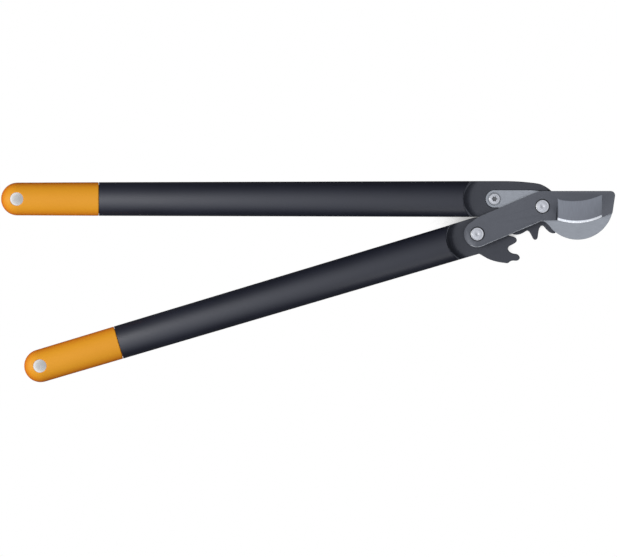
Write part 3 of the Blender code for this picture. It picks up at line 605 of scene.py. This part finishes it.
def brushed_steel(name, rgb, stretch, roughness, depth, turn=0.0, dark=0.78):
    """Bare steel with fine lines all one way; dark is the shade of its darkest lines."""
    finish = Finish(name, metallic=1.0)
    tree = finish.tree
    at = tree.coordinates(stretch=stretch, centre=tuple(PIVOT), turn=turn)
    lines = finish.group("Brushed lines", at)
    grain = finish.group("Grain", tree.coordinates(), Scale=900.0)
    streaked = tree.blend(lines["Streak"], shade_of(rgb, dark), shade_of(rgb, 1.08))
    cloudy = tree.maths("MULTIPLY", grain["Drift"], 0.25)
    finish.set("Base Color", tree.blend(cloudy, streaked, shade_of(rgb, 0.85)))
    finish.set("Roughness", tree.ramp(lines["Streak"], 0.0, 1.0, roughness + 0.05, roughness - 0.05))
    finish.relief(lines["Height"], 0.25, depth)
    return finish.material


def turned_steel(name, rgb, centre, pitch, roughness):
    """Bare steel with the concentric lines of a lathe."""
    finish = Finish(name, metallic=1.0)
    tree = finish.tree
    at = tree.coordinates(stretch=(1, 1, 0), centre=tuple(centre))
    radius = tree.add("ShaderNodeVectorMath", operation="LENGTH")
    tree.join(at, radius.inputs[0])
    turns = tree.maths("MULTIPLY", radius.outputs["Value"], math.tau / pitch)
    uneven = tree.maths("ADD", turns, tree.maths("MULTIPLY", tree.noise(at, 900.0, 3.0), 1.4))
    groove = tree.ramp(tree.maths("SINE", uneven, 0.0), -1.0, 1.0)
    finish.set("Base Color", tree.blend(groove, shade_of(rgb, 0.80), rgb))
    smeared = tree.noise(at, 260.0, 4.0)
    finish.set("Roughness", tree.ramp(smeared, 0.3, 0.7, roughness - 0.05, roughness + 0.08))
    finish.relief(groove, 0.5, 0.05 * MM)
    return finish.material


def plated_steel(settings):
    """Zinc plating, slightly cloudy."""
    finish = Finish("Plated steel", metallic=1.0)
    tree = finish.tree
    grain = finish.group("Grain", tree.coordinates(), Scale=700.0)
    base = tuple(settings.plated_colour)
    finish.set("Base Color", tree.blend(grain["Drift"], shade_of(base, 0.82), shade_of(base, 1.1)))
    finish.set("Roughness", tree.ramp(grain["Speckle"], 0.0, 1.0, 0.30, 0.42))
    finish.relief(grain["Height"], 0.12, 0.02 * MM)
    return finish.material


def bared_rim(settings):
    """The blade's lower rim, rubbed through its coating to the steel, and painted lighter as the rim's
    highlight.
    """
    finish = Finish("Bared rim", metallic=0.25)
    tree = finish.tree
    rubbed = tree.ramp(tree.noise(tree.coordinates(), 160.0, 5.0, 0.7), 0.32, 0.58)
    # painted highlight: the coating left on the rim is twice as light as elsewhere
    coated = shade_of(settings.coating_colour, 2.0)
    finish.set("Base Color", tree.blend(rubbed, coated, tuple(settings.rim_colour)))
    finish.set("Roughness", tree.ramp(rubbed, 0.0, 1.0, 0.55, 0.42))
    return finish.material


def recess():
    """Painted shade: near-black for the recesses that the bolt heads sit in, standing in for the shadow
    round each head.
    """
    finish = Finish("Oily recess")
    tree = finish.tree
    grain = finish.group("Grain", tree.coordinates(), Scale=900.0)
    finish.set("Base Color", tree.blend(grain["Drift"], (0.010, 0.010, 0.011), (0.022, 0.021, 0.021)))
    finish.set("Roughness", tree.ramp(grain["Speckle"], 0.0, 1.0, 0.35, 0.6))
    return finish.material


def nylon():
    """Black nylon of the thrust washer."""
    finish = Finish("Black nylon")
    tree = finish.tree
    grain = finish.group("Grain", tree.coordinates(), Scale=1400.0)
    finish.set("Base Color", tree.blend(grain["Speckle"], (0.014, 0.014, 0.015), (0.026, 0.026, 0.028)))
    finish.set("Roughness", tree.ramp(grain["Drift"], 0.0, 1.0, 0.45, 0.55))
    finish.relief(grain["Height"], 0.15, 0.02 * MM)
    return finish.material


# --- Operators -------------------------------------------------------------------------------------


class SHEARS_OT_finishes(bpy.types.Operator):
    """Makes the node groups that the finishes share"""

    bl_idname = "shears.finishes"
    bl_label = "Shared Finishes"

    def execute(self, context):
        grain_group()
        lines_group()
        wear_group()
        return {"FINISHED"}


def oval_tube(name, near, seam, half_near, half_far, flatness, lip, place):
    """A hollow oval tube along X from its grip end (near) to its head end, scooped in to the seam."""
    far = seam + SEAM_BOW
    deselect_all()
    bpy.ops.mesh.primitive_cylinder_add(
        vertices=TUBE_SIDES, radius=1.0, depth=far - near, end_fill_type="NOTHING",
        location=((near + far) / 2, 0, 0), rotation=(0, math.pi / 2, 0),
    )
    tube = settle(named(name))
    for end, half in ((near, half_near), (far, half_far)):
        select_where(tube, "verts", lambda v: abs(v.co.x - end) < TOLERANCE)
        bpy.ops.transform.resize(value=(1, half, half * flatness), center_override=(end, 0, 0))
        leave_edit()
    radius = (half_far**2 + SEAM_BOW**2) / (2 * SEAM_BOW)
    ring = sorted({round(v.co.y, 7) for v in tube.data.vertices if abs(v.co.x - far) < TOLERANCE})
    for across in ring:
        select_where(tube, "verts", lambda v: v.co.x > seam - TOLERANCE and abs(v.co.y - across) < 1e-6)
        reach = radius - math.sqrt(max(radius**2 - across**2, 0.0)) - SEAM_BOW
        bpy.ops.transform.translate(value=(reach, 0, 0))
        leave_edit()
    modify(tube, "SOLIDIFY", thickness=TUBE_WALL, offset=-1)
    rim_rounded(tube, lip, 3, 50)
    smooth(tube)
    tube.matrix_world = place
    return settle(tube)


class SHEARS_OT_tubes(bpy.types.Operator):
    """Makes the two oval handle tubes"""

    bl_idname = "shears.tubes"
    bl_label = "Handle Tubes"

    def execute(self, context):
        settings = context.scene.shears_handles
        coating = tube_coating(settings)
        for side, handle_frame in HANDLE_FRAMES.items():
            points = tube_points(side)
            axis = (min(p.y for p in points) + max(p.y for p in points)) / 2
            near, seam = min(p.x for p in points), seam_of(points)
            near_end = [p for p in points if p.x < near + TOLERANCE]
            half_near = max(p.y for p in near_end) - axis
            half_far = max(p.y for p in points if p.x > seam) - axis
            flatness = max(p.z for p in near_end) / half_near
            tube = oval_tube(
                side + "_tube_skin", near, seam, half_near, half_far, flatness, settings.tube_lip,
                handle_frame @ Matrix.Translation((0, axis, 0)),
            )
            dress(tube, coating)
            stand_for(tube, side + "_handle", "tube_coating", side + "_tube")
        return {"FINISHED"}


class SHEARS_OT_grips(bpy.types.Operator):
    """Makes the two grips with their hanging holes"""

    bl_idname = "shears.grips"
    bl_label = "Grips"

    def execute(self, context):
        settings = context.scene.shears_handles
        moulding = grip_moulding(settings)
        for side in HANDLE_FRAMES:
            grip = from_node(side + "_grip", side + "_grip_skin")
            moulded(grip, settings.grip_voxel, GRIP_ROUNDS)
            dress(grip, moulding)
            stand_for(grip, side + "_handle", "grip", side + "_grip")
        return {"FINISHED"}


class SHEARS_OT_heads(bpy.types.Operator):
    """Makes the two toothed heads"""

    bl_idname = "shears.heads"
    bl_label = "Toothed Heads"

    def execute(self, context):
        settings = context.scene.shears_handles
        composite = head_composite(settings)
        for side, handle_frame in HANDLE_FRAMES.items():
            head = from_node(side + "_head", side + "_head_skin")
            along = (handle_frame.to_3x3() @ Vector((1, 0, 0))).normalized()
            spigot_end = seam_of(tube_points(side)) - SPIGOT
            cut_off_behind(head, handle_frame @ Vector((spigot_end, 0, 0)), along)
            moulded(head, settings.head_voxel, HEAD_ROUNDS, HEAD_KEEP)
            dress(head, composite)
            stand_for(head, side + "_handle", "head_composite", side + "_head")
        return {"FINISHED"}


def near_bolt(point):
    return min((point.xy - PIVOT.xy).length, (point.xy - LEVER.xy).length) < RECESS_REACH


def on_lower_arm(point, front):
    """True on the rim of the blade's front face along its arm's lower side."""
    if point.z < front - FLUSH or near_bolt(point):
        return False
    arm, from_lever = (PIVOT - LEVER).xy, (point - LEVER).xy
    along = from_lever.dot(arm.normalized())
    across = arm.normalized().cross(from_lever)
    return across < -EDGE_SIDE and -TAIL_END < along < arm.length + RIM_OVERRUN


def blade_finish(face, front):
    """Which of the blade's materials a face takes, by its tilt and place."""
    if face.material_index == BARED_HIGHLIGHT:
        return BARED_HIGHLIGHT
    tilt, height = face.normal.z, face.center.z
    in_jaw = face.center.x > PIVOT.x + JAW_START
    if in_jaw and HONED_TILT[0] < tilt < HONED_TILT[1]:
        return HONED
    if in_jaw and GROUND_TILT[0] <= tilt < GROUND_TILT[1] and height < front - GROUND_DEPTH:
        return GROUND
    # painted shade: faces sunk round a bolt take the near-black recess material
    if near_bolt(face.center) and height < front - RECESS_DEPTH:
        return RECESS_SHADE
    return COATED


class SHEARS_OT_blade(bpy.types.Operator):
    """Makes the cutting blade, coated on the flat and bare where it is ground"""

    bl_idname = "shears.blade"
    bl_label = "Cutting Blade"

    def execute(self, context):
        settings = context.scene.shears_jaw
        blade = from_node("cutting_blade", "cutting_blade_skin")
        ground = brushed_steel(
            "Ground steel", tuple(settings.ground_colour), (1900, 90, 90), 0.42, 0.005 * MM, dark=0.95
        )
        honed = brushed_steel(
            "Honed steel", tuple(settings.honed_colour), (1400, 60, 60), 0.30, 0.01 * MM, dark=0.92
        )
        front = top_of("cutting_blade")
        # recess() is the painted shade round the bolt heads
        dress(blade, blade_coating(settings), ground, honed, recess(), bared_rim(settings))
        select_where(
            blade, "edges", lambda edge: all(on_lower_arm(vertex.co, front) for vertex in edge.verts)
        )
        # painted highlight: the lower rim takes the lighter bared steel
        bpy.ops.mesh.bevel(offset=settings.bared_rim, segments=1, material=BARED_HIGHLIGHT)
        leave_edit()
        for face in blade.data.polygons:
            face.material_index = blade_finish(face, front)
        rim_rounded(blade, settings.rim, 2, 40)
        smooth(blade, 20)
        stand_for(blade, "blade", "blade_coating", "cutting_blade")
        return {"FINISHED"}


class SHEARS_OT_hook(bpy.types.Operator):
    """Makes the fixed hook with its boss and tang"""

    bl_idname = "shears.hook"
    bl_label = "Hook"

    def execute(self, context):
        settings = context.scene.shears_jaw
        hook = from_node("hook_blade", "hook_blade_skin")
        steel = brushed_steel(
            "Hook steel", tuple(settings.hook_colour), (120, 1800, 120), 0.46, 0.005 * MM,
            turn=HOOK_LINES, dark=0.95,
        )
        dress(hook, steel)
        rim_rounded(hook, settings.rim, 2, 40)
        smooth(hook, 20)
        stand_for(hook, "upper_handle", "hook_steel", "hook_blade")
        return {"FINISHED"}


def bolt(name, head_radius, shank_radius, chamfer, centre, low, seat, high):
    """A bolt whose head runs from its seat up to a turned face, and whose shank ends in a chamfer."""
    rise = chamfer * CHAMFER_RISE
    piece = cylinder(name, head_radius, seat, high - rise, centre, 96)
    select_where(piece, "faces", lambda f: f.normal.z > 0.9)
    bpy.ops.mesh.inset(thickness=chamfer, depth=rise)
    for share, ring_rise in TURNED_RINGS:
        bpy.ops.mesh.inset(thickness=head_radius * share, depth=ring_rise * MM)
    leave_edit()
    select_where(piece, "faces", lambda f: f.normal.z < -0.9)
    bpy.ops.mesh.inset(thickness=head_radius - shank_radius, depth=0)
    bpy.ops.mesh.extrude_region_move(TRANSFORM_OT_translate={"value": (0, 0, low + chamfer - seat)})
    bpy.ops.mesh.extrude_region_move(TRANSFORM_OT_translate={"value": (0, 0, -chamfer)})
    share = (shank_radius - chamfer) / shank_radius
    bpy.ops.transform.resize(value=(share, share, 1), center_override=(centre.x, centre.y, low))
    leave_edit()
    rim_rounded(piece, BURR, 2, 30)
    return smooth(piece, 35)


class SHEARS_OT_bolts(bpy.types.Operator):
    """Makes the pivot bolt and the lever bolt"""

    bl_idname = "shears.bolts"
    bl_label = "Pivot Bolts"

    def execute(self, context):
        settings = context.scene.shears_fasteners
        for side, centre, body in (("pivot", PIVOT, "upper_handle"), ("lever", LEVER, "blade")):
            node = side + "_bolt"
            steel = turned_steel(
                side.title() + " bolt steel", tuple(settings.bright_colour), centre, TURNING_PITCH, 0.30
            )
            high = top_of(node)
            piece = bolt(
                node + "_turned", settings.head_radius, BOLT_SHANK, settings.chamfer, centre,
                bottom_of(node), high - BOLT_HEAD, high - BOLT_CROWN,
            )
            dress(piece, steel)
            stand_for(piece, body, "bright_steel", node)
        return {"FINISHED"}


class SHEARS_OT_tang_screw(bpy.types.Operator):
    """Makes the screw that holds the hook's tang, with its six-lobed socket"""

    bl_idname = "shears.tang_screw"
    bl_label = "Tang Screw"

    def execute(self, context):
        settings = context.scene.shears_fasteners
        high = top_of("tang_screw")
        piece = bolt(
            "tang_screw_turned", settings.screw_radius, SCREW_SHANK, settings.chamfer, TANG,
            bottom_of("tang_screw"), high - SCREW_HEAD, high - SCREW_CROWN,
        )
        floor, above = high - SOCKET_DEPTH, high + 2 * MM
        cut(piece, cylinder("socket", SOCKET_RADIUS, floor, above, TANG, 48))
        for lobe in range(SOCKET_LOBES):
            angle = math.tau * lobe / SOCKET_LOBES
            at = TANG + Vector((math.cos(angle), math.sin(angle), 0)) * SOCKET_RADIUS
            cut(piece, cylinder("lobe", LOBE_RADIUS, floor, above, at, 24))
        bright = tuple(settings.bright_colour)
        # The socket's darkened steel is painted shade inside the six-lobed socket.
        dress(
            piece, turned_steel("Tang screw steel", bright, TANG, SCREW_PITCH, 0.32),
            turned_steel("Socket steel", shade_of(bright, 0.30), TANG, SCREW_PITCH, 0.45),
        )
        # painted shade: the faces inside the socket take the darkened steel
        for face in piece.data.polygons:
            from_axis = (face.center.xy - TANG.xy).length
            in_socket = floor - 0.1 * MM < face.center.z < high - 0.5 * MM
            if in_socket and from_axis < SOCKET_RADIUS + LOBE_RADIUS + 0.1 * MM:
                face.material_index = 1
        smooth(piece, 35)
        stand_for(piece, "upper_handle", "bright_steel", "tang_screw")
        return {"FINISHED"}


class SHEARS_OT_nuts(bpy.types.Operator):
    """Makes the washers and the chamfered nuts at the back of the heads"""

    bl_idname = "shears.nuts"
    bl_label = "Nuts and Washers"

    def execute(self, context):
        settings = context.scene.shears_fasteners
        plated = plated_steel(settings)
        rows = (
            ("pivot", PIVOT, BOLT_NUT, "upper_handle"),
            ("lever", LEVER, BOLT_NUT, "blade"),
            ("tang", TANG, SCREW_NUT, "upper_handle"),
        )
        for side, centre, (flats, washer_radius, bore), body in rows:
            node = side + "_nut"
            nut = self.hexagon(node, centre, flats)
            self.bored(nut, node, centre, bore, NUT_RIM, 30)
            self.finished(nut, node, body, plated)
            node = side + "_washer"
            ends = bottom_of(node), top_of(node)
            washer = cylinder(node + "_ring", washer_radius, *ends, centre, 96)
            self.bored(washer, node, centre, bore, WASHER_RIM, 50)
            self.finished(washer, node, body, plated)
        return {"FINISHED"}

    def hexagon(self, node, centre, flats):
        """A hexagon whose corners are turned down at both ends."""
        ends = bottom_of(node), top_of(node)
        nut = cylinder(node + "_hexagon", flats / math.sqrt(3), *ends, centre, 6, math.radians(30))
        rounding = cylinder("rounding", flats / 2 * NUT_CORNER, *ends, centre, 96)
        rim_rounded(rounding, NUT_CHAMFER, 1, 50)
        return keep_within(nut, rounding)

    def bored(self, piece, node, centre, bore, rim, angle):
        """Cuts the bore right through and rounds every edge sharper than the angle."""
        past = 1 * MM
        cut(piece, cylinder("bore", bore, bottom_of(node) - past, top_of(node) + past, centre, 64))
        rim_rounded(piece, rim, 2, angle)

    def finished(self, piece, node, body, plated):
        dress(smooth(piece, 30), plated)
        stand_for(piece, body, "plain_steel", node)


class SHEARS_OT_bushes(bpy.types.Operator):
    """Finishes the sleeves and the thrust washer, which are used as they are"""

    bl_idname = "shears.bushes"
    bl_label = "Sleeves and Thrust Washer"

    def execute(self, context):
        steel = brushed_steel(
            "Sleeve steel", tuple(context.scene.shears_fasteners.plated_colour), (60, 60, 900), 0.32,
            0.01 * MM,
        )
        black = nylon()
        finishes = {"pivot_sleeve": steel, "lever_sleeve": steel, "thrust_washer": black}
        for node, material in finishes.items():
            dress(frame["nodes"][node], material)
        return {"FINISHED"}


def area_light(name, at, target, size, power):
    data = bpy.data.lights.new(name, "AREA")
    data.shape = "RECTANGLE"
    data.size, data.size_y = size
    data.energy = power
    lamp = bpy.data.objects.new(name, data)
    bpy.context.scene.collection.objects.link(lamp)
    lamp.location = at
    lamp.rotation_euler = (Vector(target) - Vector(at)).to_track_quat("-Z", "Y").to_euler()


class SHEARS_OT_stage(bpy.types.Operator):
    """Sets the pale table, the soft lights and the camera straight above"""

    bl_idname = "shears.stage"
    bl_label = "Stage"

    def execute(self, context):
        settings = context.scene.shears_stage
        deselect_all()
        bpy.ops.mesh.primitive_plane_add(size=TABLE_SIZE, location=(0, 0, TABLE_Z))
        floor = settle(named("table"))
        dress(floor, self.floor_material(tuple(settings.floor_colour)))
        self.sky()
        for lamp in LAMPS:
            area_light(*lamp)
        data = bpy.data.cameras.new("Overhead")
        data.type = "ORTHO"
        data.ortho_scale = settings.view_width
        camera = bpy.data.objects.new("Overhead", data)
        context.scene.collection.objects.link(camera)
        camera.location = (PIVOT.x - VIEW_LEFT, PIVOT.y - VIEW_DOWN, CAMERA_HEIGHT)
        context.scene.camera = camera
        context.scene.view_settings.view_transform = "Standard"
        return {"FINISHED"}

    def floor_material(self, rgb):
        """White from above and grey where deeply hidden, dim to the shears, clear from below."""
        material = bpy.data.materials.new("Table")
        material.use_nodes = True
        tree = Tree(material.node_tree)
        shader = material.node_tree.nodes["Principled BSDF"]
        shader.inputs["Base Color"].default_value = (*shade_of(rgb, TABLE_REFLECTS), 1)
        shader.inputs["Roughness"].default_value = 0.9
        hidden = tree.add("ShaderNodeAmbientOcclusion")
        hidden.inputs["Distance"].default_value = SHADE_REACH
        glow = tree.add("ShaderNodeEmission")
        glow.inputs["Color"].default_value = (*rgb, 1)
        openness = tree.maths("POWER", tree.ramp(hidden.outputs["AO"], 0.10, 0.29), 3.2)
        tree.join(tree.ramp(openness, 0.0, 1.0, SHADE_DEPTH, 1.0), glow.inputs["Strength"])
        seen = tree.add("ShaderNodeMixShader")
        tree.join(tree.add("ShaderNodeLightPath").outputs["Is Camera Ray"], seen.inputs["Fac"])
        tree.join(shader.outputs[0], seen.inputs[1])
        tree.join(glow.outputs[0], seen.inputs[2])
        from_below = tree.add("ShaderNodeMixShader")
        tree.join(tree.add("ShaderNodeNewGeometry").outputs["Backfacing"], from_below.inputs["Fac"])
        tree.join(seen.outputs[0], from_below.inputs[1])
        tree.join(tree.add("ShaderNodeBsdfTransparent").outputs[0], from_below.inputs[2])
        output = material.node_tree.nodes["Material Output"]
        tree.join(from_below.outputs[0], output.inputs["Surface"])
        return material

    def sky(self):
        """A soft glow overhead, stronger to the left and dim at the horizon; the camera sees white."""
        world = bpy.data.worlds.new("Studio")
        world.use_nodes = True
        bpy.context.scene.world = world
        tree = Tree(world.node_tree)
        background = world.node_tree.nodes["Background"]
        split = tree.add("ShaderNodeSeparateXYZ")
        tree.join(tree.add("ShaderNodeTexCoord").outputs["Generated"], split.inputs[0])
        leaning = tree.maths("MULTIPLY", split.outputs["Y"], -math.sin(LIGHT_LEAN))
        upward = tree.maths("MULTIPLY", split.outputs["Z"], math.cos(LIGHT_LEAN))
        within = tree.ramp(tree.maths("ADD", leaning, upward), 0.50, 1.0)
        glow = tree.maths("MULTIPLY", tree.maths("POWER", within, 2.0), 1.3)
        rightward = tree.ramp(split.outputs["X"], -0.20, 0.22, 1.25, 0.55)
        haze = tree.ramp(split.outputs["Z"], 0.05, 0.60, 0.02, 0.16)
        above = tree.maths("ADD", tree.maths("MULTIPLY", glow, rightward), haze)
        below = tree.ramp(split.outputs["Z"], -0.30, -0.02, 0.7, 0.0)
        seen = tree.add("ShaderNodeLightPath").outputs["Is Camera Ray"]
        strength = tree.maths("ADD", tree.maths("ADD", above, below), seen)
        tree.join(strength, background.inputs["Strength"])
        background.inputs["Color"].default_value = SKY_COLOUR


class SHEARS_PT_panel(bpy.types.Panel):
    """Lists the steps that build the shears"""

    bl_label = "Pruning Shears"
    bl_idname = "SHEARS_PT_panel"
    bl_space_type = "VIEW_3D"
    bl_region_type = "UI"
    bl_category = "Shears"

    def draw(self, context):
        for group in SETTINGS:
            settings = getattr(context.scene, group)
            for name in settings.__annotations__:
                self.layout.prop(settings, name)
        for operator in OPERATORS:
            self.layout.operator(operator.bl_idname)


SETTINGS = {
    "shears_handles": HandleSettings,
    "shears_jaw": JawSettings,
    "shears_fasteners": FastenerSettings,
    "shears_stage": StageSettings,
}
OPERATORS = (
    SHEARS_OT_finishes,
    SHEARS_OT_tubes,
    SHEARS_OT_grips,
    SHEARS_OT_heads,
    SHEARS_OT_blade,
    SHEARS_OT_hook,
    SHEARS_OT_bolts,
    SHEARS_OT_tang_screw,
    SHEARS_OT_nuts,
    SHEARS_OT_bushes,
    SHEARS_OT_stage,
)


def register():
    for cls in (*SETTINGS.values(), *OPERATORS, SHEARS_PT_panel):
        bpy.utils.register_class(cls)
    for name, cls in SETTINGS.items():
        setattr(bpy.types.Scene, name, PointerProperty(type=cls))


def unregister():
    for name in SETTINGS:
        delattr(bpy.types.Scene, name)
    for cls in reversed((*SETTINGS.values(), *OPERATORS, SHEARS_PT_panel)):
        bpy.utils.unregister_class(cls)


def main():
    register()
    for operator in OPERATORS:
        category, name = operator.bl_idname.split(".")
        getattr(getattr(bpy.ops, category), name)()


if __name__ == "__main__":
    main()
